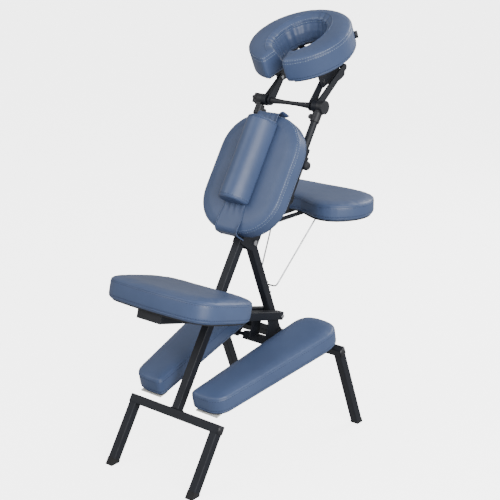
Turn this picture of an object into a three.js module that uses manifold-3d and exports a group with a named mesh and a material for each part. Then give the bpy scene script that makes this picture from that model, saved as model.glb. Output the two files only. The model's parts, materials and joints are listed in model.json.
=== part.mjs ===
// Kneeling massage chair: an A-frame of square steel tube that carries a seat beam, two knee pads,
// a chest pad with a sternum bolster, an armrest and a telescoping face rest.
// Millimetres, +Z up. +X is the client's right and +Y is the way the client faces.
import * as THREE from 'three';
import { mergeVertices } from 'three/addons/utils/BufferGeometryUtils.js';
import Module from 'manifold-3d';

const wasm = await Module();
wasm.setup();

// ---------- driving dimensions ----------
const GAP = 0.3;                     // clearance kept between touching pieces
const TUBE = 25.4;                   // square tube of the whole frame
const HALF = TUBE / 2;
const WALL = 1.6;
const ORIGIN_Y = 298.86;               // from the front crossbar to the middle of the footprint

const MAIN_LEAN = 32.64;             // main rail and front legs, from vertical
const FRONT_BAR_HEIGHT = 162.7;      // centre of the front crossbar
const FRONT_BAR_WIDTH = 331.8;
const MAIN_RAIL_END = 812;           // along the main rail, from the front crossbar

const REAR_LEAN = 21.66;             // rear post and legs, from vertical
const REAR_BAR_WIDTH = 493.4;
const REAR_BAR_DROP = 345.5;         // along the post, from the folding pivot
const REAR_PIVOT = { y: 327.9, z: 588.9 };

const BEAM_SLOPE = 15;               // seat beam, falling towards the rear frame
const BEAM_ORIGIN = { y: 159.6, z: 411.9 };  // where the beam's centre line crosses the main rail
const RAIL_WIDTH = 29;
const RAIL_INNER = 14.5;
const RAIL_FRONT = -260;
const RAIL_BACK = 284;
const BEAM_BOLT = 276.6;                // along the beam, where the rear post passes between the rails
const SADDLE_PIN = { y: -17.6, z: 5.5 };
const HINGE_BAR = { y: 268, z: -84, halfLength: 74, end: 110 };

const KNEE_SLOPE = 12.2;             // knee pads, rising towards the rear frame
const KNEE_SEAM_HEIGHT = 243;        // seam plane above the front crossbar
const KNEE_DEPTH = 52;               // seam plane to underside

const ARM_PIVOT = { y: 345, z: 634 };
const ARMREST_BOTTOM = 640;
const BAIL_TOP = { x: 78.5, y: 549.9, z: 634.2 };
const BAIL_FOOT = { x: 34, y: 408.8, z: 437.4 };
const BAIL_RADIUS = 2.25;

const POST_SPACING = 105;            // face-rest posts, from the centre plane
const POST_RADIUS = 11;
const ROD_AT = 957;                  // tie rod, along the main rail line
const RIVET = { y: 568, z: 1032 };   // face platform pivot
const PLATFORM_TILT = 25;
const CUSHION_CENTRE_Y = 42.97;       // in the platform's plane, from its pivot
const CUSHION_BOTTOM = 52;
const CUSHION_TOP = 129;

// ---------- materials ----------
const steel = new THREE.MeshStandardMaterial({ color: 0x23262d, roughness: 0.45, metalness: 0.6 });
const zinc = new THREE.MeshStandardMaterial({ color: 0xb9bcc2, roughness: 0.3, metalness: 0.9 });
const vinyl = new THREE.MeshStandardMaterial({ color: 0x4f6d96, roughness: 0.42, metalness: 0 });
const plywood = new THREE.MeshStandardMaterial({ color: 0x9a7a52, roughness: 0.7, metalness: 0 });
const rubber = new THREE.MeshStandardMaterial({ color: 0x141416, roughness: 0.8, metalness: 0 });
const blackPlastic = new THREE.MeshStandardMaterial({ color: 0x1b1d22, roughness: 0.5, metalness: 0 });
const nylon = new THREE.MeshStandardMaterial({ color: 0xe4e3de, roughness: 0.5, metalness: 0 });

// ---------- geometry helpers ----------
const radians = THREE.MathUtils.degToRad;

function solidOf(geometry) {
  const bare = geometry.clone();
  bare.deleteAttribute('normal');
  bare.deleteAttribute('uv');
  const merged = mergeVertices(bare, 1e-4);
  return new wasm.Manifold(new wasm.Mesh({
    numProp: 3,
    vertProperties: Float32Array.from(merged.attributes.position.array),
    triVerts: Uint32Array.from(merged.index.array),
  }));
}

function geometryOf(solid) {
  const mesh = solid.getMesh();
  const geometry = new THREE.BufferGeometry();
  geometry.setAttribute('position', new THREE.BufferAttribute(mesh.vertProperties, 3));
  geometry.setIndex(new THREE.BufferAttribute(mesh.triVerts, 1));
  geometry.computeVertexNormals();
  return geometry;
}

function cut(geometry, ...tools) {
  return geometryOf(tools.reduce((solid, tool) => solid.subtract(solidOf(tool)), solidOf(geometry)));
}

function join(geometry, ...others) {
  return geometryOf(others.reduce((solid, other) => solid.add(solidOf(other)), solidOf(geometry)));
}

// A box given by its lowest and highest corners.
function block(low, high) {
  const size = high.map((value, i) => value - low[i]);
  return new THREE.BoxGeometry(...size).translate(...low.map((value, i) => value + size[i] / 2));
}

// A round bar along X, from x0 to x1.
function barX(radius, x0, x1, y = 0, z = 0, sides = 24) {
  const bar = new THREE.CylinderGeometry(radius, radius, Math.abs(x1 - x0), sides);
  return bar.rotateZ(Math.PI / 2).translate((x0 + x1) / 2, y, z);
}

// A round bar along Z, from z0 to z1.
function barZ(radius, x, y, z0, z1, sides = 24) {
  const bar = new THREE.CylinderGeometry(radius, radius, z1 - z0, sides);
  return bar.rotateX(Math.PI / 2).translate(x, y, (z0 + z1) / 2);
}

// A closed outline through corner points, each rounded by its own radius.
function roundedOutline(corners, radii) {
  const shape = new THREE.Shape();
  corners.forEach((corner, i) => {
    const before = corners[(i + corners.length - 1) % corners.length];
    const after = corners[(i + 1) % corners.length];
    const radius = Array.isArray(radii) ? radii[i] : radii;
    const enter = corner.clone().add(before.clone().sub(corner).setLength(radius));
    const leave = corner.clone().add(after.clone().sub(corner).setLength(radius));
    if (i === 0) shape.moveTo(enter.x, enter.y);
    else shape.lineTo(enter.x, enter.y);
    shape.quadraticCurveTo(corner.x, corner.y, leave.x, leave.y);
  });
  shape.closePath();
  return shape;
}

const points = (...pairs) => pairs.map(([x, y]) => new THREE.Vector2(x, y));
const rectangle = (x0, y0, x1, y1) => points([x0, y0], [x1, y0], [x1, y1], [x0, y1]);

// A square or rectangular tube along Z, open at both ends.
function tubeZ(width, depth, z0, z1, wall = WALL) {
  const outline = roundedOutline(rectangle(-width / 2, -depth / 2, width / 2, depth / 2), 3);
  const inner = rectangle(wall - width / 2, wall - depth / 2, width / 2 - wall, depth / 2 - wall);
  outline.holes.push(roundedOutline(inner, 1.5));
  const tube = new THREE.ExtrudeGeometry(outline, { depth: z1 - z0, bevelEnabled: false, curveSegments: 3 });
  return tube.translate(0, 0, z0);
}

const tubeX = (width, depth, length) => tubeZ(width, depth, -length / 2, length / 2).rotateY(Math.PI / 2);

// A plate that lies in the YZ plane: its outline holds (y, z), and it runs from x0 to x1.
function sidePlate(outline, x0, x1) {
  const flat = { depth: x1 - x0, bevelEnabled: false, curveSegments: 6 };
  const plate = new THREE.ExtrudeGeometry(outline, flat);
  const basis = new THREE.Matrix4().makeBasis(
    new THREE.Vector3(0, 1, 0), new THREE.Vector3(0, 0, 1), new THREE.Vector3(1, 0, 0));
  return plate.applyMatrix4(basis).translate(x0, 0, 0);
}

// A padded slab: its outline holds (x, y), and its edges are rounded over.
function pad(outline, z0, z1, edge, segments = 3) {
  return new THREE.ExtrudeGeometry(outline, {
    depth: z1 - z0 - 2 * edge,
    bevelThickness: edge,
    bevelSize: edge,
    bevelOffset: -edge,
    bevelSegments: segments,
    curveSegments: 8,
  }).translate(0, 0, z0 + edge);
}

function slab(outline, z0, z1) {
  const flat = { depth: z1 - z0, bevelEnabled: false, curveSegments: 8 };
  const board = new THREE.ExtrudeGeometry(outline, flat);
  return board.translate(0, 0, z0);
}

function circlePath(x, y, radius) {
  const path = new THREE.Path();
  path.absarc(x, y, radius, 0, 2 * Math.PI, true);
  return path;
}

// A link plate whose ends are round: the outline round two circles.
function linkOutline(a, b, radiusA, radiusB) {
  const along = Math.atan2(b.y - a.y, b.x - a.x);
  const reach = Math.hypot(b.x - a.x, b.y - a.y);
  const spread = Math.acos((radiusA - radiusB) / reach);
  const shape = new THREE.Shape();
  shape.absarc(a.x, a.y, radiusA, along + spread, along - spread + 2 * Math.PI, false);
  shape.absarc(b.x, b.y, radiusB, along - spread, along + spread, false);
  shape.closePath();
  return shape;
}

const mirrored = (geometry) => {
  const copy = geometry.clone().applyMatrix4(new THREE.Matrix4().makeScale(-1, 1, 1));
  const flat = copy.index ? copy.toNonIndexed() : copy;
  const position = flat.attributes.position;
  for (let i = 0; i < position.count; i += 3) {
    const second = new THREE.Vector3().fromBufferAttribute(position, i + 1);
    const third = new THREE.Vector3().fromBufferAttribute(position, i + 2);
    position.setXYZ(i + 1, third.x, third.y, third.z);
    position.setXYZ(i + 2, second.x, second.y, second.z);
  }
  flat.deleteAttribute('normal');
  flat.deleteAttribute('uv');
  return flat;
};

const chair = new THREE.Group();

function frameGroup(y, z, degreesAboutX) {
  const holder = new THREE.Group();
  holder.position.set(0, y, z);
  holder.rotation.x = radians(degreesAboutX);
  chair.add(holder);
  return holder;
}

function add(parent, name, geometry, material) {
  const bare = geometry.clone();
  bare.computeVertexNormals();
  const mesh = new THREE.Mesh(bare, material);
  mesh.name = name;
  parent.add(mesh);
}

// Adds NAME_right as built and NAME_left as its mirror image.
function addPair(parent, name, geometry, material) {
  add(parent, `${name}_right`, geometry, material);
  add(parent, `${name}_left`, mirrored(geometry), material);
}

// In the main frame's group Z runs up the main rail and Y points behind it, away from the client.
const mainFrame = frameGroup(0, FRONT_BAR_HEIGHT, -MAIN_LEAN);
// In the rear frame's group the origin is the folding pivot and Z runs up the post.
const rearFrame = frameGroup(REAR_PIVOT.y, REAR_PIVOT.z, REAR_LEAN);
// In the beam's group the origin is its crossing with the main rail and Y runs back along the rails.
const seatBeam = frameGroup(BEAM_ORIGIN.y, BEAM_ORIGIN.z, -BEAM_SLOPE);
// In the knee pads' group Z = 0 is the seam plane.
const kneeRest = frameGroup(0, KNEE_SEAM_HEIGHT, KNEE_SLOPE);
const level = frameGroup(0, 0, 0);

// A point of the level layout in a leaning group's own axes.
function inGroup(holder, y, z) {
  holder.updateMatrix();
  const local = new THREE.Vector3(0, y, z).applyMatrix4(holder.matrix.clone().invert());
  return { y: local.y, z: local.z };
}

// A point of the seat beam in the level layout, as [y, z].
function beamPoint(y, z) {
  const slope = radians(BEAM_SLOPE);
  return [BEAM_ORIGIN.y + y * Math.cos(slope) + z * Math.sin(slope),
    BEAM_ORIGIN.z - y * Math.sin(slope) + z * Math.cos(slope)];
}

// ---------- frame tubes ----------
// A crossbar with closed ends and a leg under each end, welded into one piece.
function legFrame(width, barZ0, legEnd) {
  const legX = width / 2 - HALF;
  const leg = tubeZ(TUBE, TUBE, -legEnd, barZ0 - HALF + 1).translate(legX, 0, 0);
  const endHalf = HALF - 0.5;
  const end = block([width / 2 - 2, -endHalf, barZ0 - endHalf], [width / 2, endHalf, barZ0 + endHalf]);
  const bore = HALF - WALL - 0.5;
  const throat = block([legX - bore, -bore, barZ0 - HALF - 4], [legX + bore, bore, barZ0]);
  const bar = tubeX(TUBE, TUBE, width).translate(0, 0, barZ0);
  return cut(join(bar, leg, mirrored(leg), end, mirrored(end)), throat, mirrored(throat));
}

const tubeEnd = (z) => block([-HALF + 0.5, -HALF + 0.5, z - 2], [HALF - 0.5, HALF - 0.5, z]);

// A rubber plug in the end of a leaning leg: it is as wide as the tube, and its sole is flat on the floor.
function footPlug(x, lean, legEnd, floorDepth) {
  const inside = HALF - WALL - 2 * GAP;
  const tip = block([x - HALF, -HALF, -floorDepth - 30], [x + HALF, HALF, -legEnd - GAP]);
  const stem = block([x - inside, -inside, -legEnd - 2], [x + inside, inside, -legEnd + 16]);
  const floor = block([x - 60, -90, -60], [x + 60, 90, 0]);
  floor.rotateX(-radians(lean)).translate(0, 0, -floorDepth);
  return cut(join(tip, stem), floor);
}

// The main rail carries a small shelf in front: the saddle pin of the seat beam rests on it.
function mainFrameTubes() {
  const pin = inGroup(mainFrame, ...beamPoint(SADDLE_PIN.y, SADDLE_PIN.z));
  const shelf = block([-12, pin.y - 6, pin.z - 14], [12, -HALF - GAP, pin.z - 5.6]);
  const rail = join(tubeZ(TUBE, TUBE, HALF + GAP, MAIN_RAIL_END), tubeEnd(MAIN_RAIL_END));
  add(mainFrame, 'main_rail', rail, steel);
  add(mainFrame, 'saddle_shelf', shelf, steel);
  const floorDepth = FRONT_BAR_HEIGHT / Math.cos(radians(MAIN_LEAN));
  const legEnd = floorDepth - 15.5;
  add(mainFrame, 'front_leg_frame', legFrame(FRONT_BAR_WIDTH, 0, legEnd), steel);
  const legX = FRONT_BAR_WIDTH / 2 - HALF;
  addPair(mainFrame, 'front_foot', footPlug(legX, -MAIN_LEAN, legEnd, floorDepth), rubber);
}

function rearFrameTubes() {
  const bolt = inGroup(rearFrame, ...beamPoint(BEAM_BOLT, 0));
  const bare = join(tubeZ(TUBE, TUBE, -REAR_BAR_DROP + HALF + GAP, 20), tubeEnd(20));
  const post = cut(bare, barX(5.3, -20, 20), barX(4.3, -20, 20, bolt.y, bolt.z));
  add(rearFrame, 'rear_post', post, steel);
  const floorDepth = REAR_PIVOT.z / Math.cos(radians(REAR_LEAN));
  const legEnd = floorDepth - 12;
  add(rearFrame, 'rear_leg_frame', legFrame(REAR_BAR_WIDTH, -REAR_BAR_DROP, legEnd), steel);
  const legX = REAR_BAR_WIDTH / 2 - HALF;
  addPair(rearFrame, 'rear_foot', footPlug(legX, REAR_LEAN, legEnd, floorDepth), rubber);
}

// Toothed plate behind the post: the foot of the bail rests on the flank of its middle tooth.
function bailRack() {
  const foot = inGroup(rearFrame, BAIL_FOOT.y, BAIL_FOOT.z);
  const PITCH = 18.7;
  const REACH = 10;
  const back = HALF + GAP;
  const root = foot.y - 4.2;
  const middle = foot.z + 1.6;
  const outline = new THREE.Shape();
  outline.moveTo(back, middle - 2 * PITCH - 14);
  outline.lineTo(back, middle + PITCH + 22);
  outline.lineTo(root, middle + PITCH + 22);
  for (const tooth of [1, 0, -1]) {
    const top = middle + tooth * PITCH;
    outline.lineTo(root, top);
    outline.lineTo(root + REACH, top - 14.8);
    outline.lineTo(root, top - PITCH + 0.2);
  }
  outline.lineTo(root, middle - 2 * PITCH - 14);
  outline.closePath();
  add(rearFrame, 'bail_rack', sidePlate(outline, -3, 3), steel);
}

// Cheek plates on the sides of the main rail: they hold the post's bolt and the armrest's bolt.
function hingeBracket() {
  const post = inGroup(mainFrame, REAR_PIVOT.y, REAR_PIVOT.z);
  const arm = inGroup(mainFrame, ARM_PIVOT.y, ARM_PIVOT.z);
  const corners = points([-9, post.z - 24], [post.y + 19, post.z - 24], [post.y + 19, arm.z - 10],
    [arm.y + 14, arm.z + 17], [-9, arm.z + 17]);
  const outline = roundedOutline(corners, [6, 16, 12, 12, 6]);
  outline.holes.push(circlePath(post.y, post.z, 5.3), circlePath(arm.y, arm.z, 4.3));
  const cheek = sidePlate(outline, HALF + GAP, HALF + GAP + 4);
  const web = block([-HALF - 2, HALF + 2, arm.z + 10], [HALF + 2, arm.y, arm.z + 14]);
  add(mainFrame, 'hinge_bracket', join(cheek, mirrored(cheek), web), steel);
}

// A bolt along X with a hexagonal head and a nut.
function crossBolt(radius, reach, y, z) {
  const head = radius * 1.7;
  return join(
    barX(radius, -reach - 6, reach + 3, y, z),
    barX(head, reach + GAP, reach + GAP + radius, y, z, 6),
    barX(head, -reach - GAP - radius, -reach - GAP, y, z, 6));
}

function frameBolts() {
  const cheek = HALF + GAP + 4;
  const armPlate = cheek + GAP + 5;
  const beamSide = RAIL_INNER + RAIL_WIDTH;
  add(level, 'rear_pivot_bolt', crossBolt(5, cheek, REAR_PIVOT.y, REAR_PIVOT.z), zinc);
  add(level, 'armrest_pivot_bolt', crossBolt(4, armPlate, ARM_PIVOT.y, ARM_PIVOT.z), zinc);
  add(seatBeam, 'beam_pivot_bolt', crossBolt(4, beamSide, BEAM_BOLT, 0), zinc);
  const pinEnd = beamSide + 3;
  add(seatBeam, 'saddle_pin', barX(4, -pinEnd, pinEnd, SADDLE_PIN.y, SADDLE_PIN.z), zinc);
}

// ---------- chest pad ----------
const CHEST = { width: 274, low: 530, high: 890, corner: 112, back: 13.2, board: 8, front: 74 };

// Turns a slab drawn in (x, z) so that its thickness runs from the frame towards the client.
const facingClient = (geometry) => geometry.rotateX(Math.PI / 2);

function chestOutline(inset) {
  const half = CHEST.width / 2 - inset;
  const corner = CHEST.corner - inset;
  const shape = new THREE.Shape();
  const low = CHEST.low + inset;
  const high = CHEST.high - inset;
  shape.absarc(half - corner, low + corner, corner, -Math.PI / 2, 0, false);
  shape.absarc(half - corner, high - corner, corner, 0, Math.PI / 2, false);
  shape.absarc(corner - half, high - corner, corner, Math.PI / 2, Math.PI, false);
  shape.absarc(corner - half, low + corner, corner, Math.PI, 1.5 * Math.PI, false);
  shape.closePath();
  return shape;
}

function chestPad() {
  const boardFront = CHEST.back + CHEST.board;
  add(mainFrame, 'chest_board', facingClient(slab(chestOutline(8), CHEST.back, boardFront)), plywood);
  add(mainFrame, 'chest_pad', facingClient(pad(chestOutline(0), boardFront + GAP, CHEST.front, 14)), vinyl);
}

// Two flat bars behind the rail and two upright sleeves make the frame behind the chest pad.
const SLEEVE = { low: 640, high: 828 };
const CROSS_BARS = [['lower', 676], ['upper', 794]];

function chestFrame() {
  const reach = POST_SPACING + HALF;
  for (const [name, z] of CROSS_BARS) {
    const bar = block([-reach, HALF + GAP, z - 12], [reach, HALF + GAP + 5, z + 12]);
    add(mainFrame, `chest_cross_bar_${name}`, bar, steel);
  }
  const sleeve = tubeZ(TUBE, TUBE, SLEEVE.low, SLEEVE.high, 1.4).translate(POST_SPACING, 0, 0);
  const studHole = barX(4.3, POST_SPACING + 5, POST_SPACING + 20, 0, 777);
  add(mainFrame, 'post_sleeve_right', cut(sleeve, studHole), steel);
  add(mainFrame, 'post_sleeve_left', mirrored(sleeve), steel);
}

function lockKnob() {
  const face = POST_SPACING + HALF + GAP;
  const profile = points([0, 0], [8, 0], [8, 5], [13, 8], [13.5, 16], [11, 21], [5, 23], [0, 23]);
  const head = new THREE.LatheGeometry(profile, 24).rotateZ(-Math.PI / 2).translate(face, 0, 777);
  const stud = barX(4, face - 1.4, face + 2, 0, 777, 12);
  add(mainFrame, 'sleeve_knob', join(head, stud), blackPlastic);
}

// Half-round bolster on the chest pad, over a wide strap that wraps the pad's ends.
const BOLSTER = { low: 608, high: 862, halfWidth: 48, height: 62 };
const STRAP_THICKNESS = 2.4;

function sternumBolster() {
  const base = CHEST.front + 0.6 + STRAP_THICKNESS + GAP;
  const profile = new THREE.Shape();
  profile.absellipse(0, -base, BOLSTER.halfWidth, BOLSTER.height, Math.PI, 2 * Math.PI, false, 0);
  profile.closePath();
  add(mainFrame, 'sternum_bolster', pad(profile, BOLSTER.low, BOLSTER.high, 5, 2), vinyl);
}

function sternumStrap() {
  const clear = 0.6;
  const inside = { front: CHEST.front + clear, low: CHEST.low - clear, high: CHEST.high + clear };
  const EDGE = 16;
  const outline = (grow, back) => {
    const front = -(inside.front + grow);
    return points([-back, inside.low - grow], [front, inside.low - grow], [front, inside.high + grow],
      [-back, inside.high + grow]);
  };
  const outer = roundedOutline([...outline(STRAP_THICKNESS, 34)], [0.01, EDGE, EDGE, 0.01]);
  const inner = roundedOutline([...outline(0, 33)], [0.01, EDGE, EDGE, 0.01]);
  const band = cut(sidePlate(outer, -42, 42), sidePlate(inner, -60, 60),
    block([-60, -34.5, 500], [60, 60, 950]));
  add(mainFrame, 'sternum_strap', band, vinyl);
}

// ---------- seat beam and seat ----------
function seatBeamRails() {
  const rail = tubeZ(RAIL_WIDTH, TUBE, RAIL_FRONT, RAIL_BACK, WALL).rotateX(-Math.PI / 2);
  const centre = RAIL_INNER + RAIL_WIDTH / 2;
  const endPlate = block([1 - RAIL_WIDTH / 2, RAIL_BACK - 2, 1 - HALF],
    [RAIL_WIDTH / 2 - 1, RAIL_BACK, HALF - 1]);
  const closed = join(rail, endPlate).translate(centre, 0, 0);
  const bored = cut(closed, barX(4.3, 5, 60, BEAM_BOLT, 0),
    barX(4.3, 5, 60, SADDLE_PIN.y, SADDLE_PIN.z));
  addPair(seatBeam, 'seat_rail', bored, steel);
  const outer = RAIL_INNER + RAIL_WIDTH;
  const insideX = RAIL_WIDTH / 2 - WALL - 2 * GAP;
  const insideZ = HALF - WALL - 2 * GAP;
  const frontStub = block([centre - insideX, RAIL_FRONT - 1, -insideZ],
    [centre + insideX, RAIL_FRONT + 7, insideZ]);
  const frontFace = block([-outer, RAIL_FRONT - 3, -HALF], [outer, RAIL_FRONT - GAP, HALF]);
  const spacer = block([GAP - RAIL_INNER, RAIL_FRONT - 1, -HALF], [RAIL_INNER - GAP, RAIL_FRONT + 22, HALF]);
  add(seatBeam, 'beam_front_spacer', join(frontFace, spacer, frontStub, mirrored(frontStub)), blackPlastic);
}

// Two plates under the rails carry a cross tube: the knee rests swing on the spigots at its ends.
function kneelerHanger() {
  const bar = tubeX(TUBE, TUBE, 2 * HINGE_BAR.halfLength).translate(0, HINGE_BAR.y, HINGE_BAR.z);
  const end = block([HINGE_BAR.halfLength - 4, HINGE_BAR.y - 12, HINGE_BAR.z - 12],
    [HINGE_BAR.halfLength, HINGE_BAR.y + 12, HINGE_BAR.z + 12]);
  const spigot = barX(6, HINGE_BAR.halfLength - 1, HINGE_BAR.end, HINGE_BAR.y, HINGE_BAR.z);
  const corners = rectangle(HINGE_BAR.y - 36, HINGE_BAR.z + 4, HINGE_BAR.y + 6, -HALF - GAP);
  const outline = roundedOutline(corners, 2);
  const plate = sidePlate(outline, 28, 32);
  const vent = block([-6, HINGE_BAR.y - 6, HINGE_BAR.z - 20], [6, HINGE_BAR.y + 6, HINGE_BAR.z]);
  const parts = [end, spigot, plate];
  add(seatBeam, 'kneeler_hanger', cut(join(bar, ...parts, ...parts.map(mirrored)), vent), steel);
}

const SEAT = { halfWidth: 188, front: -280, back: -15.5, board: 9, seam: 71, top: 79 };

function seatOutline(inset) {
  const half = SEAT.halfWidth - inset;
  const front = SEAT.front + inset;
  const back = SEAT.back - inset;
  const corners = points([-half, front + 12], [0, front - 8], [half, front + 12],
    [half, back], [-half, back]);
  return roundedOutline(corners, [70, 90, 70, 95, 95]);
}

function seat() {
  const railTop = HALF + GAP;
  add(seatBeam, 'seat_board', slab(seatOutline(9), railTop, railTop + SEAT.board), plywood);
  add(seatBeam, 'seat_pad', pad(seatOutline(0), railTop + SEAT.board + GAP, SEAT.top, 14), vinyl);
}

// ---------- knee pads ----------
function kneeOutline(inset) {
  const corners = points([55.3 + inset, inset - 4], [160.6 - inset, inset - 4],
    [249.5 - inset * 1.1, 482 - inset], [92.6 + inset, 482 - inset]);
  return roundedOutline(corners, [20, 48, 92, 56].map((radius) => radius - inset));
}

function kneePads() {
  const bottom = -KNEE_DEPTH;
  addPair(kneeRest, 'kneeler_board', slab(kneeOutline(8), bottom, bottom + 9), plywood);
  addPair(kneeRest, 'kneeler_pad', pad(kneeOutline(0), bottom + 9 + GAP, 6, 11), vinyl);
  const glide = roundedOutline(rectangle(-1, bottom - 4.5, 30, bottom - GAP), 1);
  addPair(kneeRest, 'kneeler_glide', sidePlate(glide, 68, 144), nylon);
}

// An angle bracket under the rear of each knee board, with an ear on the hinge bar's spigot.
function kneelerBrackets() {
  const pivot = inGroup(kneeRest, ...beamPoint(HINGE_BAR.y, HINGE_BAR.z));
  const top = -KNEE_DEPTH - GAP;
  const reach = 30;
  const outline = new THREE.Shape();
  outline.moveTo(pivot.y - reach, top);
  outline.lineTo(pivot.y - reach, top - 6);
  outline.absarc(pivot.y, pivot.z, 12, radians(205), radians(335), false);
  outline.lineTo(pivot.y + reach, top - 6);
  outline.lineTo(pivot.y + reach, top);
  outline.closePath();
  outline.holes.push(circlePath(pivot.y, pivot.z, 6.3));
  const ear = sidePlate(outline, 103, 107);
  const flange = block([103, pivot.y - reach, top - 3.5], [136, pivot.y + reach, top]);
  addPair(kneeRest, 'kneeler_bracket', join(ear, flange), steel);
}

// ---------- armrest ----------
function armrestOutline(inset) {
  const half = [[0, 528], [38, 521], [80, 502], [122, 487], [165, 493], [200, 522], [222, 565], [226, 610],
    [212, 652], [180, 688], [130, 705], [62, 708]];
  const centre = new THREE.Vector2(0, 612);
  const shrink = ([x, y]) => {
    const arm = new THREE.Vector2(x, y).sub(centre);
    const scale = (arm.length() - inset) / arm.length();
    return arm.multiplyScalar(scale).add(centre);
  };
  const right = half.map(shrink);
  const left = half.slice(1).map(([x, y]) => shrink([-x, y])).reverse();
  const loop = new THREE.SplineCurve([...right, ...left, right[0]]);
  return new THREE.Shape(loop.getPoints(46).slice(0, -1));
}

function armrest() {
  add(level, 'armrest_board', slab(armrestOutline(8), ARMREST_BOTTOM, ARMREST_BOTTOM + 9), plywood);
  add(level, 'armrest_pad', pad(armrestOutline(0), ARMREST_BOTTOM + 9 + GAP, 694, 12), vinyl);
  const top = ARMREST_BOTTOM - GAP;
  const low = 628;
  const outline = new THREE.Shape();
  outline.absarc(ARM_PIVOT.y, ARM_PIVOT.z, 10, radians(70), radians(322), false);
  outline.lineTo(640, low);
  outline.lineTo(656, low + 6);
  outline.lineTo(656, top);
  outline.lineTo(ARM_PIVOT.y + 22, top);
  outline.closePath();
  outline.holes.push(circlePath(ARM_PIVOT.y, ARM_PIVOT.z, 4.3));
  const inner = HALF + GAP + 4 + GAP;
  const arm = sidePlate(outline, inner, inner + 5);
  const web = block([-inner - 1, 600, 634], [inner + 1, 650, top]);
  add(level, 'armrest_arms', join(arm, mirrored(arm), web), steel);
  const clip = block([54, BAIL_TOP.y - 8, BAIL_TOP.z - 5], [66, BAIL_TOP.y + 8, top]);
  const bored = cut(clip, barX(BAIL_RADIUS + GAP, 50, 90, BAIL_TOP.y, BAIL_TOP.z, 12));
  addPair(level, 'bail_clip', bored, blackPlastic);
}

// A bent steel wire: two splayed legs, a cross leg at the foot and a short pin at each top end.
function armrestBail() {
  const BEND = 9;
  const corners = [[57, BAIL_TOP.y, BAIL_TOP.z], [BAIL_TOP.x, BAIL_TOP.y, BAIL_TOP.z],
    [BAIL_FOOT.x, BAIL_FOOT.y, BAIL_FOOT.z]];
  const right = corners.map((corner) => new THREE.Vector3(...corner));
  const left = corners.map(([x, y, z]) => new THREE.Vector3(-x, y, z)).reverse();
  const route = [...right, ...left];
  const path = new THREE.CurvePath();
  let from = route[0];
  for (let i = 1; i < route.length - 1; i += 1) {
    const enter = route[i].clone().add(route[i - 1].clone().sub(route[i]).setLength(BEND));
    const leave = route[i].clone().add(route[i + 1].clone().sub(route[i]).setLength(BEND));
    path.add(new THREE.LineCurve3(from, enter));
    path.add(new THREE.QuadraticBezierCurve3(enter, route[i], leave));
    from = leave;
  }
  path.add(new THREE.LineCurve3(from, route[route.length - 1]));
  const section = new THREE.Shape();
  section.absarc(0, 0, BAIL_RADIUS, 0, 2 * Math.PI, false);
  const wire = new THREE.ExtrudeGeometry(section, { steps: 72, extrudePath: path, curveSegments: 5 });
  add(level, 'armrest_bail', wire, zinc);
}

// ---------- face rest ----------
const BARREL = { inner: 101.3, outer: 117.5, radius: 17 };
const SPINDLE = 7;
const HUB = { inner: 84, outer: 101 };
const rodAt = {
  y: ROD_AT * Math.sin(radians(MAIN_LEAN)),
  z: FRONT_BAR_HEIGHT + ROD_AT * Math.cos(radians(MAIN_LEAN)),
};

function faceMast() {
  const top = ROD_AT - 21.3;
  addPair(mainFrame, 'face_post', barZ(POST_RADIUS, POST_SPACING, 0, 665, top, 28), steel);
  const socket = barZ(14, POST_SPACING, 0, top - 27, top + 2, 28);
  const web = block([BARREL.inner, -10, top + 1], [BARREL.outer, 10, ROD_AT - 8]);
  const ear = new THREE.CylinderGeometry(8, 8, 16, 20).translate(POST_SPACING - 15, 0, top - 13);
  const barrel = barX(BARREL.radius, BARREL.inner, BARREL.outer, 0, ROD_AT, 32);
  const bore = barZ(POST_RADIUS + 0.2, POST_SPACING, 0, top - 40, top + GAP, 28);
  const axle = barX(SPINDLE + GAP, 60, BARREL.outer, 0, ROD_AT);
  const shell = join(socket, web, ear, barrel);
  const cap = barX(20, BARREL.outer - 1, BARREL.outer + 7, 0, ROD_AT, 36);
  add(mainFrame, 'clamp_right', cut(join(shell, cap), bore, axle), blackPlastic);
  const through = barX(SPINDLE + GAP, 110, 125, 0, ROD_AT);
  add(mainFrame, 'clamp_left', mirrored(cut(shell, bore, axle, through)), blackPlastic);
}

function clampKnob() {
  const LOBES = 6;
  const outline = new THREE.Shape();
  for (let i = 0; i <= 72; i += 1) {
    const turn = (i / 72) * 2 * Math.PI;
    const radius = 15.5 + 2 * Math.cos(LOBES * turn);
    outline[i === 0 ? 'moveTo' : 'lineTo'](radius * Math.cos(turn), radius * Math.sin(turn));
  }
  const end = -BARREL.outer - GAP;
  const knob = cut(sidePlate(outline, end - 15, end), barX(SPINDLE + GAP, end - 10, end + 5));
  add(mainFrame, 'clamp_knob', knob.translate(0, 0, ROD_AT), blackPlastic);
}

function tieRod() {
  const neck = HUB.inner - GAP;
  const waist = points([9.6, -neck], [9, -62], [6.8, -30], [6.4, 0], [6.8, 30], [9, 62], [9.6, neck]);
  const taper = new THREE.SplineCurve(waist).getPoints(12);
  const left = -BARREL.outer - 9;
  const right = BARREL.outer - GAP - 1;
  const profile = [...points([0, left], [SPINDLE, left], [SPINDLE, -neck]), ...taper,
    ...points([SPINDLE, neck], [SPINDLE, right], [0, right])];
  const rod = new THREE.LatheGeometry(profile, 18).rotateZ(-Math.PI / 2);
  add(mainFrame, 'tie_rod', rod.translate(0, 0, ROD_AT), blackPlastic);
}

const toPivot = { x: RIVET.y - rodAt.y, y: RIVET.z - rodAt.z };
const STRUT_REACH = 165;
const STRUT_RISE = 37;
const strutEnd = {
  x: STRUT_REACH * Math.cos(radians(STRUT_RISE)),
  y: STRUT_REACH * Math.sin(radians(STRUT_RISE)),
};

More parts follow.
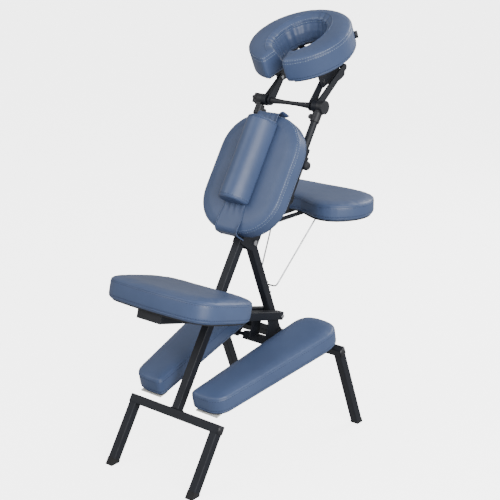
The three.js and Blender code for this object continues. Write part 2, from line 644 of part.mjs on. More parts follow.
function faceArms() {
  const arms = frameGroup(rodAt.y, rodAt.z, 0);
  const armShape = linkOutline({ x: 0, y: 0 }, toPivot, 15, 11);
  armShape.holes.push(circlePath(0, 0, 9.8), circlePath(toPivot.x, toPivot.y, 3.8));
  addPair(arms, 'face_arm', sidePlate(armShape, 72, 76.5), steel);
  const strutShape = linkOutline({ x: 0, y: 0 }, strutEnd, 13, 10);
  const strut = join(sidePlate(strutShape, 93, 98), barX(BARREL.radius, HUB.inner, HUB.outer, 0, 0, 32),
    barX(4, 75.8, 94, strutEnd.x, strutEnd.y));
  addPair(arms, 'face_strut', cut(strut, barX(SPINDLE + GAP, 60, 120)), steel);
}

// A slot of constant width that follows an arc about the origin.
function arcSlot(radius, halfWidth, from, to) {
  const STEPS = 8;
  const outline = [];
  const arc = (cx, cy, r, start, end, first) => {
    for (let i = first; i <= STEPS; i += 1) {
      const turn = start + (end - start) * (i / STEPS);
      outline.push(new THREE.Vector2(cx + r * Math.cos(turn), cy + r * Math.sin(turn)));
    }
  };
  arc(0, 0, radius + halfWidth, from, to, 0);
  arc(radius * Math.cos(to), radius * Math.sin(to), halfWidth, to, to + Math.PI, 1);
  arc(0, 0, radius - halfWidth, to, from, 1);
  arc(radius * Math.cos(from), radius * Math.sin(from), halfWidth, from - Math.PI, from, 1);
  outline.pop();
  return new THREE.Path(outline);
}

const CUSHION = { halfWidth: 157, halfLength: 150, mouth: 20 };
const FACE_HOLE = { low: { x: 58, y: 80 }, high: { x: 76, y: 97 } };

// A C-shaped outline, open towards the client: an outer oval, an inner oval and a mouth between the lobes.
function crescent(halfWidth, halfLength, holeWidth, holeLength, mouth) {
  const shape = new THREE.Shape();
  const STEPS = 36;
  const outerStart = -Math.PI / 2 + Math.asin((mouth + 12) / halfWidth);
  const innerStart = -Math.PI / 2 + Math.asin(mouth / holeWidth);
  for (let i = 0; i <= STEPS; i += 1) {
    const turn = outerStart + (i / STEPS) * (2 * Math.PI - 2 * (outerStart + Math.PI / 2));
    const at = [halfWidth * Math.cos(turn), CUSHION_CENTRE_Y + halfLength * Math.sin(turn)];
    shape[i === 0 ? 'moveTo' : 'lineTo'](...at);
  }
  for (let i = STEPS; i >= 0; i -= 1) {
    const turn = innerStart + (i / STEPS) * (2 * Math.PI - 2 * (innerStart + Math.PI / 2));
    shape.lineTo(holeWidth * Math.cos(turn), CUSHION_CENTRE_Y + holeLength * Math.sin(turn));
  }
  shape.closePath();
  return shape;
}

// The face hole widens upwards: an oval cone from the underside to above the top.
function faceFunnel() {
  const over = 4;
  const depth = CUSHION_TOP - CUSHION_BOTTOM;
  const grow = (FACE_HOLE.high.x - FACE_HOLE.low.x) / depth;
  const low = FACE_HOLE.low.x - grow * over;
  const high = FACE_HOLE.high.x + grow * over;
  const cone = new THREE.CylinderGeometry(high, low, depth + 2 * over, 48).rotateX(Math.PI / 2);
  cone.scale(1, FACE_HOLE.high.y / FACE_HOLE.high.x, 1);
  return cone.translate(0, CUSHION_CENTRE_Y, (CUSHION_TOP + CUSHION_BOTTOM) / 2);
}

function facePlatform() {
  const platform = frameGroup(RIVET.y, RIVET.z, PLATFORM_TILT);
  const plate = crescent(CUSHION.halfWidth - 18, CUSHION.halfLength - 18, FACE_HOLE.low.x + 12,
    FACE_HOLE.low.y + 12, CUSHION.mouth + 14);
  const plateTop = CUSHION_BOTTOM - GAP;
  add(platform, 'face_platform', slab(plate, plateTop - 6, plateTop), blackPlastic);
  const ring = crescent(CUSHION.halfWidth, CUSHION.halfLength,
    FACE_HOLE.low.x, FACE_HOLE.low.y, CUSHION.mouth);
  const body = pad(ring, CUSHION_BOTTOM, CUSHION_TOP, 10, 2);
  add(platform, 'face_cushion', cut(body, faceFunnel()), vinyl);
  const tilt = radians(PLATFORM_TILT);
  const dy = strutEnd.x - toPivot.x;
  const dz = strutEnd.y - toPivot.y;
  const pin = { y: dy * Math.cos(tilt) + dz * Math.sin(tilt), z: dz * Math.cos(tilt) - dy * Math.sin(tilt) };
  const reach = Math.hypot(pin.y, pin.z);
  const mid = Math.atan2(pin.z, pin.y);
  const swing = radians(12);
  const under = plateTop - 6 - GAP;
  const outline = roundedOutline(points([-16, under], [-16, -8], [-8, -16], [14, -16], [66, -38], [102, -38],
    [108, under]), [1, 5, 5, 10, 10, 12, 1]);
  outline.holes.push(circlePath(0, 0, 3.8), arcSlot(reach, 4.4, mid - swing, mid + swing));
  const flange = sidePlate(outline, 77, 80.5);
  const web = block([-79, 96, under - 4], [79, 107, under]);
  add(platform, 'platform_bracket', join(flange, mirrored(flange), web), steel);
  const rivet = join(barX(3.5, 71.2, 81.8, 0, 0, 16), barX(5.5, 80.8, 82.6, 0, 0, 16),
    barX(5.5, 69.9, 71.7, 0, 0, 16));
  addPair(platform, 'platform_rivet', rivet, zinc);
}

mainFrameTubes();
rearFrameTubes();
bailRack();
hingeBracket();
frameBolts();
chestFrame();
chestPad();
lockKnob();
sternumBolster();
sternumStrap();
seatBeamRails();
kneelerHanger();
seat();
kneePads();
kneelerBrackets();
armrest();
armrestBail();
faceMast();
clampKnob();
tieRod();
faceArms();
facePlatform();

const model = new THREE.Group();
chair.position.y = -ORIGIN_Y;
model.add(chair);

export default model;
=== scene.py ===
"""Looks of the kneeling massage chair: vinyl cushions, seams, stitches, materials, light and camera."""

import json
import math

import bmesh
import bpy
import numpy as np
from mathutils import Matrix, Vector
from mathutils.bvhtree import BVHTree


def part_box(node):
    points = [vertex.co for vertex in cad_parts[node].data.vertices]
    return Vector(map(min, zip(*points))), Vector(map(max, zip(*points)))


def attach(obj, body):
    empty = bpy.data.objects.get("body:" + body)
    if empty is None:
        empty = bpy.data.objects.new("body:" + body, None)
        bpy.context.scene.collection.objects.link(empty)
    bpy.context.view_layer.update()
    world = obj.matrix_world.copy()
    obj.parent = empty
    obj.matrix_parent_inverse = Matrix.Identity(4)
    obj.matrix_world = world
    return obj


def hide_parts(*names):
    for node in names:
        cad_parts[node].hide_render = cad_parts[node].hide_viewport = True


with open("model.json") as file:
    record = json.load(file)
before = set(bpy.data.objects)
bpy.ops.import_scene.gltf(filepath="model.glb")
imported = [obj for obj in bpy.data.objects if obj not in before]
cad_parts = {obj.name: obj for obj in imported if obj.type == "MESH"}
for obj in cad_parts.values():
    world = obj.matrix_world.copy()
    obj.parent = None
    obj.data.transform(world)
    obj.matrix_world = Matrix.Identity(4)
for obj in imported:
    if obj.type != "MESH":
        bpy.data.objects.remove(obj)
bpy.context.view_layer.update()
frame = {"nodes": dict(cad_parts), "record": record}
NODES = frame["nodes"]

# ---------- driving dimensions, in metres and degrees ----------
ORIGIN_Y = 0.29886  # from the front crossbar to the middle of the footprint
MAIN_LEAN = 32.64
REAR_LEAN = 21.66
BEAM_SLOPE = 15.0
KNEE_SLOPE = 12.2
PLATFORM_TILT = 25.0
FRONT_BAR_HEIGHT = 0.1627
REAR_BAR = (0.4555, 0.2677)  # its place behind the front crossbar, and its height
PLATFORM_PIVOT = (0.568, 1.032)  # behind the front crossbar, and its height
CUSHION_MIDDLE = 0.043  # along the platform, from its pivot
CUSHION_TOP = 0.131  # just above the face cushion, over the platform's pivot
FACE_HOLE = (0.066, 0.088)  # half its width and half its length, midway down
INNER_PANEL = 1.36  # how far out the gathered panel reaches, as a share of the hole

VOXEL = 0.005
PUFF_LIMIT = 0.004  # the furthest that the filling pushes the vinyl out
BOARD_COVER = 0.0078  # how far the vinyl wraps down over the board's edge
HELD_RIM = 0.003  # the strip of the underside that the cloth keeps still
LOWER_SEAM = 0.009  # the lower seam's height over the underside
BOLSTER_SEAM = 0.005  # the end seam's distance from the bolster's end
PIPING_RADIUS = 0.0016
STITCH_LENGTH = 0.0042
STITCH_PITCH = 0.0075
STITCH_RADIUS = 0.00042
BOLSTER_ENDS = (0.608, 0.862)  # along the main rail, as are the strap's ends
STRAP_LOW = 0.5235
STRAP_HIGH = 0.8965
STRAP_FACE = 0.0772
STRAP_BEND = 0.016
STRAP_HALF_WIDTH = 0.042
CAP_THICKNESS = 0.0024
CAP_SIDE = 0.0242

WORLD_LIGHT = 0.5
BACKDROP = 4.5
FLOOR_GLOW = 4.0

MAIN_FRAME = (
    Matrix.Translation((0, -ORIGIN_Y, FRONT_BAR_HEIGHT))
    @ Matrix.Rotation(math.radians(-MAIN_LEAN), 4, "X")
)
REAR_PIVOT = Matrix.Translation((0, 0.3279 - ORIGIN_Y, 0.5889))
REAR_FRAME = REAR_PIVOT @ Matrix.Rotation(math.radians(REAR_LEAN), 4, "X")
UP_THE_RAIL = MAIN_FRAME.to_3x3() @ Vector((0, 0, 1))


def tilted(degrees):
    """The upward normal of a surface turned about X."""
    turn = math.radians(degrees)
    return Vector((0, -math.sin(turn), math.cos(turn)))


CLIENT_SIDE = Vector((0, -math.cos(math.radians(MAIN_LEAN)), math.sin(math.radians(MAIN_LEAN))))

# Each cushion: CAD pad, body, face normal, seam depth, whether it wraps a board, puff share, fill.
CUSHIONS = [
    ("seat_pad", "seat_assembly", tilted(-BEAM_SLOPE), 0.010, True, 1.0, 0.85),
    ("kneeler_pad_right", "kneeler_assembly_right", tilted(KNEE_SLOPE), 0.008, True, 0.8, 0.85),
    ("kneeler_pad_left", "kneeler_assembly_left", tilted(KNEE_SLOPE), 0.008, True, 0.8, 0.85),
    ("armrest_pad", "armrest_assembly", tilted(0), 0.009, True, 0.8, 0.85),
    ("chest_pad", "main_frame", CLIENT_SIDE, 0.010, True, 0.5, 0.8),
    ("face_cushion", "face_head", tilted(PLATFORM_TILT), 0.010, False, 1.0, 0.75),
    ("sternum_bolster", "main_frame", CLIENT_SIDE, 0.0, False, 0.5, 0.9),
]


# ---------- materials ----------
def new_material(name, metallic=0.0):
    material = bpy.data.materials.new(name)
    material.use_nodes = True
    tree = material.node_tree
    shader = tree.nodes["Principled BSDF"]
    shader.inputs["Metallic"].default_value = metallic
    coords = tree.nodes.new("ShaderNodeTexCoord")
    return material, tree, shader, coords.outputs["Object"]


def noise(tree, coords, scale, detail=4.0):
    node = tree.nodes.new("ShaderNodeTexNoise")
    node.inputs["Scale"].default_value = scale
    node.inputs["Detail"].default_value = detail
    tree.links.new(coords, node.inputs["Vector"])
    return node.outputs["Fac"]


def cells(tree, coords, scale):
    node = tree.nodes.new("ShaderNodeTexVoronoi")
    node.inputs["Scale"].default_value = scale
    tree.links.new(coords, node.inputs["Vector"])
    return node.outputs["Distance"]


def ramp(tree, value, low, high, start=0.3, end=0.7):
    node = tree.nodes.new("ShaderNodeValToRGB")
    node.color_ramp.elements[0].position = start
    node.color_ramp.elements[1].position = end
    node.color_ramp.elements[0].color = (*low, 1)
    node.color_ramp.elements[1].color = (*high, 1)
    tree.links.new(value, node.inputs["Fac"])
    return node.outputs["Color"]


def spread(tree, value, low, high):
    node = tree.nodes.new("ShaderNodeMapRange")
    node.inputs["To Min"].default_value = low
    node.inputs["To Max"].default_value = high
    tree.links.new(value, node.inputs["Value"])
    return node.outputs["Result"]


def bump(tree, height, strength, distance, under=None):
    node = tree.nodes.new("ShaderNodeBump")
    node.inputs["Strength"].default_value = strength
    node.inputs["Distance"].default_value = distance
    tree.links.new(height, node.inputs["Height"])
    if under is not None:
        tree.links.new(under, node.inputs["Normal"])
    return node.outputs["Normal"]


def rounded_edges(tree, radius):
    node = tree.nodes.new("ShaderNodeBevel")
    node.samples = 4
    node.inputs["Radius"].default_value = radius
    return node.outputs["Normal"]


def vinyl_material():
    """Satin vinyl: fine leather grain over slow waves of the foam below."""
    material, tree, shader, coords = new_material("blue_vinyl")
    colour = ramp(tree, noise(tree, coords, 9), (0.054, 0.083, 0.168), (0.067, 0.100, 0.196))
    tree.links.new(colour, shader.inputs["Base Color"])
    rough = spread(tree, noise(tree, coords, 34), 0.36, 0.48)
    tree.links.new(rough, shader.inputs["Roughness"])
    waves = bump(tree, noise(tree, coords, 14, 2), 0.25, 0.003)
    grain = bump(tree, cells(tree, coords, 900), 0.16, 0.0003, waves)
    tree.links.new(grain, shader.inputs["Normal"])
    shader.inputs["Specular IOR Level"].default_value = 0.5
    return material


def coated_material(name, low, high, rough_low, rough_high, grain, metallic=0.0, edge=0.0012):
    """A hard surface with slightly uneven colour and gloss, and softened edges."""
    material, tree, shader, coords = new_material(name, metallic)
    tree.links.new(ramp(tree, noise(tree, coords, 22), low, high), shader.inputs["Base Color"])
    rough = spread(tree, noise(tree, coords, 60), rough_low, rough_high)
    tree.links.new(rough, shader.inputs["Roughness"])
    normal = bump(tree, noise(tree, coords, grain, 3), 0.12, 0.0004, rounded_edges(tree, edge))
    tree.links.new(normal, shader.inputs["Normal"])
    return material


def cloth_material():
    """The black woven cloth that covers a board's underside."""
    material, tree, shader, coords = new_material("black_dust_cloth")
    weave = cells(tree, coords, 1300)
    colour = ramp(tree, weave, (0.008, 0.008, 0.009), (0.02, 0.02, 0.022))
    tree.links.new(colour, shader.inputs["Base Color"])
    tree.links.new(spread(tree, weave, 0.8, 0.95), shader.inputs["Roughness"])
    tree.links.new(bump(tree, weave, 0.3, 0.0003), shader.inputs["Normal"])
    return material


def thread_material(name, low, high):
    material, tree, shader, coords = new_material(name)
    tree.links.new(ramp(tree, noise(tree, coords, 300), low, high), shader.inputs["Base Color"])
    tree.links.new(spread(tree, noise(tree, coords, 500), 0.6, 0.8), shader.inputs["Roughness"])
    return material


MATERIALS = {
    "vinyl": vinyl_material(),
    "frame_paint": coated_material(
        "charcoal_paint", (0.0025, 0.004, 0.0085), (0.004, 0.006, 0.012), 0.5, 0.62, 700
    ),
    "plywood": cloth_material(),
    "rubber": coated_material("black_rubber", (0.007, 0.007, 0.008), (0.013, 0.013, 0.014), 0.7, 0.85, 500),
    "zinc": coated_material(
        "zinc_plate", (0.46, 0.47, 0.5), (0.62, 0.63, 0.66), 0.2, 0.34, 400, 1.0, 0.0004
    ),
    "black_plastic": coated_material(
        "black_plastic", (0.010, 0.011, 0.014), (0.017, 0.018, 0.023), 0.4, 0.55, 1100
    ),
    "nylon": coated_material("pale_nylon", (0.62, 0.61, 0.57), (0.72, 0.71, 0.67), 0.4, 0.5, 300),
}
PALE_THREAD = thread_material("pale_thread", (0.24, 0.31, 0.42), (0.36, 0.43, 0.54))
DARK_THREAD = thread_material("dark_thread", (0.012, 0.02, 0.045), (0.025, 0.038, 0.075))


def paint_frame():
    slots = {part["node"]: part["material_slot"] for part in frame["record"]["subparts"]}
    for name, obj in NODES.items():
        obj.data.materials.clear()
        obj.data.materials.append(MATERIALS[slots[name]])


# ---------- mesh helpers ----------
def world_copy(node):
    """The node's vertices and faces in the row frame, as a bmesh."""
    mesh = bmesh.new()
    mesh.from_mesh(NODES[node].data)
    mesh.transform(NODES[node].matrix_world)
    bmesh.ops.remove_doubles(mesh, verts=mesh.verts, dist=1e-5)
    return mesh


def link_mesh(name, mesh, material, smooth=True):
    data = bpy.data.meshes.new(name)
    mesh.to_mesh(data)
    mesh.free()
    obj = bpy.data.objects.new(name, data)
    bpy.context.scene.collection.objects.link(obj)
    data.materials.append(material)
    for polygon in data.polygons:
        polygon.use_smooth = smooth
    return obj


def upright(normal):
    """Turns the given normal to +Z about X."""
    return Matrix.Rotation(math.atan2(normal.y, normal.z), 4, "X")


def cut_loops(mesh, normal, height):
    """Closed rings of points where the mesh meets the plane at that height along the normal."""
    ring = mesh.copy()
    everything = ring.verts[:] + ring.edges[:] + ring.faces[:]
    made = bmesh.ops.bisect_plane(ring, geom=everything, plane_co=normal * height, plane_no=normal)
    edges = {item for item in made["geom_cut"] if isinstance(item, bmesh.types.BMEdge)}
    loops = []
    while edges:
        edge = edges.pop()
        here = edge.verts[1]
        points = [edge.verts[0].co.copy(), here.co.copy()]
        while True:
            following = next((e for e in here.link_edges if e in edges), None)
            if following is None:
                break
            edges.discard(following)
            here = following.other_vert(here)
            points.append(here.co.copy())
        loops.append(points)
    ring.free()
    return loops


def resample(points, spacing):
    """The closed ring again, with even steps."""
    line = np.array([list(p) for p in points + [points[0]]])
    steps = np.linalg.norm(np.diff(line, axis=0), axis=1)
    along = np.concatenate([[0], np.cumsum(steps)])
    count = max(8, int(round(along[-1] / spacing)))
    at = np.linspace(0, along[-1], count, endpoint=False)
    return [Vector([np.interp(a, along, line[:, k]) for k in range(3)]) for a in at]


def tube_ring(mesh, points, radius, closed=True, sides=8):
    """Adds a round tube along the points to the bmesh."""
    count = len(points)
    rings = []
    for i, point in enumerate(points):
        before = points[i - 1] if closed or i else point
        after = points[(i + 1) % count] if closed or i < count - 1 else point
        tangent = (after - before).normalized()
        side = tangent.cross(Vector((0.31, 0.17, 0.93))).normalized()
        up = side.cross(tangent)
        ring = []
        for k in range(sides):
            turn = 2 * math.pi * k / sides
            ring.append(mesh.verts.new(point + radius * (math.cos(turn) * side + math.sin(turn) * up)))
        rings.append(ring)
    for i in range(count if closed else count - 1):
        low, high = rings[i], rings[(i + 1) % count]
        for k in range(sides):
            mesh.faces.new((low[k], low[(k + 1) % sides], high[(k + 1) % sides], high[k]))
    if not closed:
        mesh.faces.new(rings[0][::-1])
        mesh.faces.new(rings[-1])


# ---------- cushions ----------
def start_cushion(node, normal, wraps_board):
    """A fine, even skin of the CAD pad, its underside drawn down over the edge of the board."""
    mesh = world_copy(node)
    heights = [v.co.dot(normal) for v in mesh.verts]
    low, high = min(heights), max(heights)
    if wraps_board:
        middle = (low + high) / 2
        for vertex in mesh.verts:
            if vertex.co.dot(normal) < middle:
                vertex.co -= normal * BOARD_COVER
        low -= BOARD_COVER
    turn = upright(normal)
    mesh.transform(turn)
    obj = link_mesh(f"{node}_cover", mesh, MATERIALS["vinyl"])
    obj.data.remesh_voxel_size = VOXEL
    bpy.context.view_layer.objects.active = obj
    obj.select_set(True)
    bpy.ops.object.voxel_remesh()
    obj.data.transform(turn.inverted())
    obj.select_set(False)
    return obj, low, high


def read_points(data):
    flat = np.empty(len(data.vertices) * 3)
    data.vertices.foreach_get("co", flat)
    return flat.reshape(-1, 3)


def write_points(data, points):
    data.vertices.foreach_set("co", points.ravel())
    data.update()


def add_cloth(obj, held):
    group = obj.vertex_groups.new(name="held")
    group.add([int(i) for i in np.flatnonzero(held)], 1.0, "REPLACE")
    settings = obj.modifiers.new("cloth", "CLOTH").settings
    settings.vertex_group_mass = "held"
    settings.use_pressure = True
    settings.uniform_pressure_force = 4.0
    settings.effector_weights.gravity = 0.0
    settings.tension_stiffness = 12.0
    settings.compression_stiffness = 12.0
    settings.bending_stiffness = 0.4
    settings.quality = 5
    settings.mass = 0.3


def run_cloth(parts):
    """Blows all the covers up together, then keeps no more than the allowed push."""
    scene = bpy.context.scene
    scene.frame_start = 1
    scene.frame_end = 20
    for step in range(1, 21):
        scene.frame_set(step)
    graph = bpy.context.evaluated_depsgraph_get()
    results = [read_points(part["obj"].evaluated_get(graph).data) for part in parts]
    for part, blown in zip(parts, results):
        obj = part["obj"]
        obj.modifiers.remove(obj.modifiers["cloth"])
        rest = read_points(obj.data)
        push = blown - rest
        length = np.linalg.norm(push, axis=1, keepdims=True)
        limit = PUFF_LIMIT * part["puff"]
        share = limit * np.tanh(length / limit) / np.maximum(length, 1e-9)
        write_points(obj.data, rest + push * share)
    scene.frame_set(1)


def finish_cover(obj):
    smoother = obj.modifiers.new("smooth", "SMOOTH")
    smoother.factor = 0.5
    smoother.iterations = 4
    fine = obj.modifiers.new("fine", "SUBSURF")
    fine.levels = 1
    fine.render_levels = 1
    bpy.context.view_layer.objects.active = obj
    for name in ("smooth", "fine"):
        bpy.ops.object.modifier_apply(modifier=name)
    for polygon in obj.data.polygons:
        polygon.use_smooth = True


def press_seams(obj, normal, heights, depth=0.0011, width=0.0022):
    """Draws the cover in along each seam."""
    points = read_points(obj.data)
    normals = np.array([list(v.normal) for v in obj.data.vertices])
    level = points @ np.array(normal)
    flat = 1 - np.abs(normals @ np.array(normal)) ** 4
    pull = sum(np.exp(-(((level - height) / width) ** 2)) for height in heights)
    write_points(obj.data, points - normals * (depth * pull * flat)[:, None])


def platform_point(across, along, up):
    """A place given across the platform, along it and above its pivot."""
    tilt = math.radians(PLATFORM_TILT)
    y = PLATFORM_PIVOT[0] - ORIGIN_Y + along * math.cos(tilt) - up * math.sin(tilt)
    z = PLATFORM_PIVOT[1] + along * math.sin(tilt) + up * math.cos(tilt)
    return Vector((across, y, z))


def across_platform(points):
    """Each point's place on the face cushion: across it, along it and above its pivot."""
    tilt = math.radians(PLATFORM_TILT)
    y = points[:, 1] + ORIGIN_Y - PLATFORM_PIVOT[0]
    z = points[:, 2] - PLATFORM_PIVOT[1]
    along = y * math.cos(tilt) + z * math.sin(tilt) - CUSHION_MIDDLE
    return points[:, 0], along, z * math.cos(tilt) - y * math.sin(tilt)


def round_lobe_tips(obj):
    """Softens the two ends of the crescent, beside its mouth."""
    across, along, _ = across_platform(read_points(obj.data))
    near = np.clip((-0.088 - along) / 0.02, 0, 1) * np.clip((0.07 - np.abs(across)) / 0.02, 0, 1)
    group = obj.vertex_groups.new(name="tips")
    for index in np.flatnonzero(near):
        group.add([int(index)], float(near[index]), "REPLACE")
    smoother = obj.modifiers.new("tips", "SMOOTH")
    smoother.factor = 0.6
    smoother.iterations = 22
    smoother.vertex_group = "tips"
    bpy.context.view_layer.objects.active = obj
    bpy.ops.object.modifier_apply(modifier="tips")


def gather_face_hole(obj):
    """The inner panel slopes down into the face hole, in small folds."""
    points = read_points(obj.data)
    normals = np.array([list(v.normal) for v in obj.data.vertices])
    across, along, height = across_platform(points)
    turn = np.arctan2(across, along)
    reach = np.hypot(across / FACE_HOLE[0], along / FACE_HOLE[1])
    slope = np.clip((INNER_PANEL - reach) / (INNER_PANEL - 1.0), 0, 1)
    high = np.clip((height - 0.09) / 0.03, 0, 1)
    drop = 0.014 * slope**1.4 * high * np.clip((along + 0.1) / 0.04, 0, 1)
    tilt = math.radians(PLATFORM_TILT)
    down = np.array([0.0, math.sin(tilt), -math.cos(tilt)])
    folds = np.sin(22 * turn + 2.5 * np.sin(3 * turn)) * (0.6 + 0.4 * np.sin(5 * turn))
    fold = 0.0020 * folds * np.exp(-(((reach - 1.05) / 0.25) ** 2))
    write_points(obj.data, points + normals * fold[:, None] + drop[:, None] * down)


def inner_panel_seam(part):
    """The seam round the face hole, where the top panel meets the gathered one."""
    tree = BVHTree.FromObject(part["obj"], bpy.context.evaluated_depsgraph_get())
    steps = 120
    half_turn = 152
    ring = []
    for step in range(steps + 1):
        turn = math.radians(-half_turn + 2 * half_turn * step / steps)
        across = FACE_HOLE[0] * INNER_PANEL * math.sin(turn)
        along = FACE_HOLE[1] * INNER_PANEL * math.cos(turn) + CUSHION_MIDDLE
        ring.append(platform_point(across, along, CUSHION_TOP))
    mesh = bmesh.new()
    tube_ring(mesh, on_surface(tree, ring, 0.0001), 0.0012, closed=False)
    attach(link_mesh("face_cushion_inner_seam", mesh, MATERIALS["vinyl"]), part["body"])


def on_surface(tree, points, lift):
    placed = []
    for point in points:
        where, facing, _, _ = tree.find_nearest(point)
        placed.append(where + facing * lift)
    return placed


def seam_details(part):
    """Piping along both seams, and the rows of stitches beside them."""
    obj, normal, body = part["obj"], part["normal"], part["body"]
    graph = bpy.context.evaluated_depsgraph_get()
    tree = BVHTree.FromObject(obj, graph)
    source = bmesh.new()
    source.from_mesh(obj.data)
    piping, pale, dark = bmesh.new(), bmesh.new(), bmesh.new()
    top, bottom = part["seams"]
    for height, lift in ((top, 0.0002), (bottom, 0.0001)):
        for ring in cut_loops(source, normal, height):
            tube_ring(piping, on_surface(tree, resample(ring, 0.005), lift), PIPING_RADIUS)
    double_row = part["name"] in ("chest_pad", "face_cushion")
    rows = [(top - 0.0045, pale if double_row else dark), (bottom + 0.005, dark)]
    if double_row:
        rows.append((top + 0.0035, pale))
    for height, thread in rows:
        for ring in cut_loops(source, normal, height):
            stitches(thread, tree, ring)
    source.free()
    for suffix, mesh, material in (
        ("piping", piping, MATERIALS["vinyl"]),
        ("stitches_pale", pale, PALE_THREAD),
        ("stitches_dark", dark, DARK_THREAD),
    ):
        if mesh.verts:
            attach(link_mesh(f"{part['name']}_{suffix}", mesh, material), body)


def stitches(thread, tree, ring):
    even = resample(ring, STITCH_PITCH)
    for here, following in zip(even, even[1:] + even[:1]):
        along = (following - here).normalized() * STITCH_LENGTH
        ends = [here, here + along * 0.5, here + along]
        placed = on_surface(tree, ends, 0.0001)
        placed[1] += (placed[1] - tree.find_nearest(placed[1] + Vector((0, 0, 1e-6)))[0]) * 2
        tube_ring(thread, placed, STITCH_RADIUS, closed=False, sides=5)


def build_cushions():
    """Makes every cushion's cover, fills them all at once, then adds their seams."""
    parts = []
    for node, body, normal, seam_drop, wraps_board, puff, fill in CUSHIONS:
        obj, low, high = start_cushion(node, normal, wraps_board)
        points = read_points(obj.data)
        held = points @ np.array(normal) < low + HELD_RIM
        across = normal
        seams = (high - seam_drop, low + LOWER_SEAM)
        if node == "sternum_bolster":
            across = UP_THE_RAIL
            base = MAIN_FRAME.translation.dot(UP_THE_RAIL)
            seams = (base + BOLSTER_ENDS[1] - BOLSTER_SEAM, base + BOLSTER_ENDS[0] + BOLSTER_SEAM)
        for seam in seams:
            held |= np.abs(points @ np.array(across) - seam) < 0.6 * VOXEL
        part = {"name": node, "obj": obj, "body": body, "normal": across}
        part.update(seams=seams, puff=puff, fill=fill)
        parts.append(part)
        add_cloth(obj, held)
    run_cloth(parts)
    for part in parts:
        obj = part["obj"]
        if part["name"] == "face_cushion":
            round_lobe_tips(obj)
        finish_cover(obj)
        press_seams(obj, part["normal"], part["seams"])
        if part["name"] == "face_cushion":
            gather_face_hole(obj)
        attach(obj, part["body"])
        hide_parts(part["name"])
        seam_details(part)
        if part["name"] == "face_cushion":
            inner_panel_seam(part)


# ---------- sternum strap ----------
def strap_line(steps=12):
    """The strap's route as (along the rail, out from the frame): up, over the pad's face and back."""
    centre = STRAP_FACE - STRAP_BEND
    turns = [math.pi / 2 * k / steps for k in range(steps + 1)]
    low = [(STRAP_LOW + STRAP_BEND * (1 - math.cos(t)), centre + STRAP_BEND * math.sin(t)) for t in turns]
    high = [(STRAP_HIGH + STRAP_LOW - s, n) for s, n in reversed(low)]
    count = 60
    start, end = low[-1][0], high[0][0]
    face = [(start + (end - start) * k / count, STRAP_FACE) for k in range(1, count)]
    tail = [0.036, 0.042, 0.048, 0.054]
    return [(STRAP_LOW, n) for n in tail] + low + face + high + [(STRAP_HIGH, n) for n in reversed(tail)]


def strap_offset(along, side):
    """Puckers beside the bolster's ends and a curl of the free edge where the strap turns over the pad."""
    near_bolster = max(math.exp(-(((along - end) / 0.022) ** 2)) for end in BOLSTER_ENDS)
    near_edge = max(math.exp(-(((along - end) / 0.02) ** 2)) for end in (STRAP_LOW, STRAP_HIGH))
    pucker = 0.0011 * near_bolster * (1 + math.sin(11 * side + 40 * along))
    curl = 0.006 * near_edge * max(0.0, (side - 0.6) / 0.4) ** 2
    return 0.0004 + pucker + curl


def sternum_strap():
    """The strap over the chest pad's face, with a rolled edge on each side."""
    mesh, edging = bmesh.new(), bmesh.new()
    columns = 20
    route = strap_line()
    rows = []
    for i, (along, out) in enumerate(route):
        before, after = route[max(i - 1, 0)], route[min(i + 1, len(route) - 1)]
        away = Vector((before[1] - after[1], after[0] - before[0])).normalized()
        gathered = max(math.exp(-(((along - end) / 0.03) ** 2)) for end in BOLSTER_ENDS)
        half = STRAP_HALF_WIDTH - 0.006 * gathered
        row = []
        for k in range(columns + 1):
            side = 2 * k / columns - 1
            lift = strap_offset(along, side)
            place = Vector((side * half, -(out + away.y * lift), along + away.x * lift))
            row.append(mesh.verts.new(MAIN_FRAME @ place))
        rows.append(row)
    for low, high in zip(rows, rows[1:]):
        for k in range(columns):
            mesh.faces.new((low[k], low[k + 1], high[k + 1], high[k]))
    for k in (0, columns):
        tube_ring(edging, [row[k].co.copy() for row in rows], 0.0011, closed=False)
    strap = link_mesh("sternum_strap_cover", mesh, MATERIALS["vinyl"])
    strap.modifiers.new("thickness", "SOLIDIFY").thickness = 0.0014
    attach(strap, "main_frame")
    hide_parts("sternum_strap")
    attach(link_mesh("sternum_strap_edging", edging, MATERIALS["vinyl"]), "main_frame")


# ---------- small hard details ----------
def rounded_block(name, size, place, material, body):
    mesh = bmesh.new()
    bmesh.ops.create_cube(mesh, size=1)
    bmesh.ops.scale(mesh, vec=size, verts=mesh.verts)
    bmesh.ops.bevel(mesh, geom=mesh.edges[:], offset=0.0008, segments=2, affect="EDGES")
    mesh.transform(place)
    obj = link_mesh(name, mesh, MATERIALS[material])
    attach(obj, body)


def cushion_tab():
    """The end of the strap that holds the face cushion, on its rear right edge."""
    around = math.radians(35)
    along = CUSHION_MIDDLE + 0.153 * math.sin(around)
    where = Matrix.Translation(platform_point(0.160 * math.cos(around), along, 0.085))
    lean = Matrix.Rotation(math.radians(PLATFORM_TILT), 4, "X")
    place = where @ lean @ Matrix.Rotation(around, 4, "Z")
    rounded_block("cushion_tab", (0.012, 0.014, 0.018), place, "black_plastic", "face_head")


def weld_bead(name, where, height, body):
    """A slightly uneven bead round the foot of a square tube."""
    half = 0.0131
    per_side = 9
    corners = [(-half, -half), (half, -half), (half, half), (-half, half)]
    points = []
    for (x0, y0), (x1, y1) in zip(corners, corners[1:] + corners[:1]):
        for k in range(per_side):
            share = k / per_side
            wobble = 0.0003 * math.sin(2.4 * len(points))
            points.append(where @ Vector((x0 + (x1 - x0) * share, y0 + (y1 - y0) * share, height + wobble)))
    bead = bmesh.new()
    tube_ring(bead, points, 0.0013)
    obj = link_mesh(name, bead, MATERIALS["frame_paint"])
    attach(obj, body)


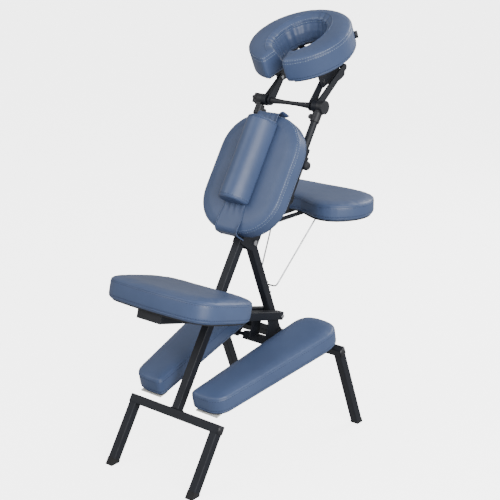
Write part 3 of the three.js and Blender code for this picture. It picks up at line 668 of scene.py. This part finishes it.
def crossbar_caps():
    """The plastic cap in each end of both crossbars."""
    for bar, body, lean, y, z in (
        ("front", "main_frame", -MAIN_LEAN, -ORIGIN_Y, FRONT_BAR_HEIGHT),
        ("rear", "rear_frame", REAR_LEAN, REAR_BAR[0] - ORIGIN_Y, REAR_BAR[1]),
    ):
        low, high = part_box(f"{bar}_leg_frame")
        for side, x in (("right", high[0]), ("left", low[0])):
            out = math.copysign(CAP_THICKNESS / 2, x)
            middle = Matrix.Translation((x + out, y, z))
            place = middle @ Matrix.Rotation(math.radians(lean), 4, "X")
            size = (CAP_THICKNESS, CAP_SIDE, CAP_SIDE)
            rounded_block(f"{bar}_cap_{side}", size, place, "black_plastic", body)


# ---------- setting ----------
def area_light(name, place, target, size, power):
    lamp = bpy.data.lights.new(name, "AREA")
    lamp.size = size
    lamp.energy = power
    obj = bpy.data.objects.new(name, lamp)
    obj.location = place
    obj.rotation_euler = (Vector(target) - Vector(place)).to_track_quat("-Z", "Y").to_euler()
    bpy.context.scene.collection.objects.link(obj)


def pale_floor():
    """A plain floor that glows a little and takes soft shadows. It is hidden from bounced light."""
    mesh = bmesh.new()
    bmesh.ops.create_grid(mesh, x_segments=1, y_segments=1, size=80)
    material, tree, shader, coords = new_material("pale_floor")
    colour = ramp(tree, noise(tree, coords, 1.5), (0.86, 0.86, 0.86), (0.89, 0.89, 0.89))
    tree.links.new(colour, shader.inputs["Base Color"])
    tree.links.new(spread(tree, noise(tree, coords, 3), 0.8, 0.9), shader.inputs["Roughness"])
    shader.inputs["Emission Color"].default_value = (1, 1, 1, 1)
    shader.inputs["Emission Strength"].default_value = FLOOR_GLOW
    floor = link_mesh("floor", mesh, material, smooth=False)
    floor.visible_diffuse = False
    floor.visible_glossy = False


def setting():
    """A white studio: bright to the camera, soft and dimmer as a light."""
    pale_floor()
    world = bpy.data.worlds.new("studio")
    world.use_nodes = True
    tree = world.node_tree
    rays = tree.nodes.new("ShaderNodeLightPath")
    strength = tree.nodes.new("ShaderNodeMapRange")
    strength.inputs["To Min"].default_value = WORLD_LIGHT
    strength.inputs["To Max"].default_value = BACKDROP
    tree.links.new(rays.outputs["Is Camera Ray"], strength.inputs["Value"])
    background = tree.nodes["Background"]
    background.inputs["Color"].default_value = (1, 1, 1, 1)
    tree.links.new(strength.outputs["Result"], background.inputs["Strength"])
    bpy.context.scene.world = world
    area_light("key", (-1.6, -2.6, 3.0), (0, 0, 0.6), 2.2, 38)
    area_light("fill", (3.0, -1.4, 1.8), (0, 0, 0.6), 2.6, 165)
    area_light("back", (0.8, 3.0, 2.6), (0, 0, 0.8), 2.4, 95)


def camera():
    data = bpy.data.cameras.new("camera")
    data.lens = 80.7
    data.sensor_width = 36
    obj = bpy.data.objects.new("camera", data)
    obj.location = (1.9770, -2.0785 - ORIGIN_Y, 1.5245)
    obj.rotation_euler = (math.radians(72.85), 0, math.radians(39.4))
    bpy.context.scene.collection.objects.link(obj)
    bpy.context.scene.camera = obj


paint_frame()
build_cushions()
sternum_strap()
cushion_tab()
weld_bead("main_rail_weld", MAIN_FRAME, 0.0138, "main_frame")
weld_bead("rear_post_weld", REAR_FRAME, -0.3316, "rear_frame")
crossbar_caps()
setting()
camera()
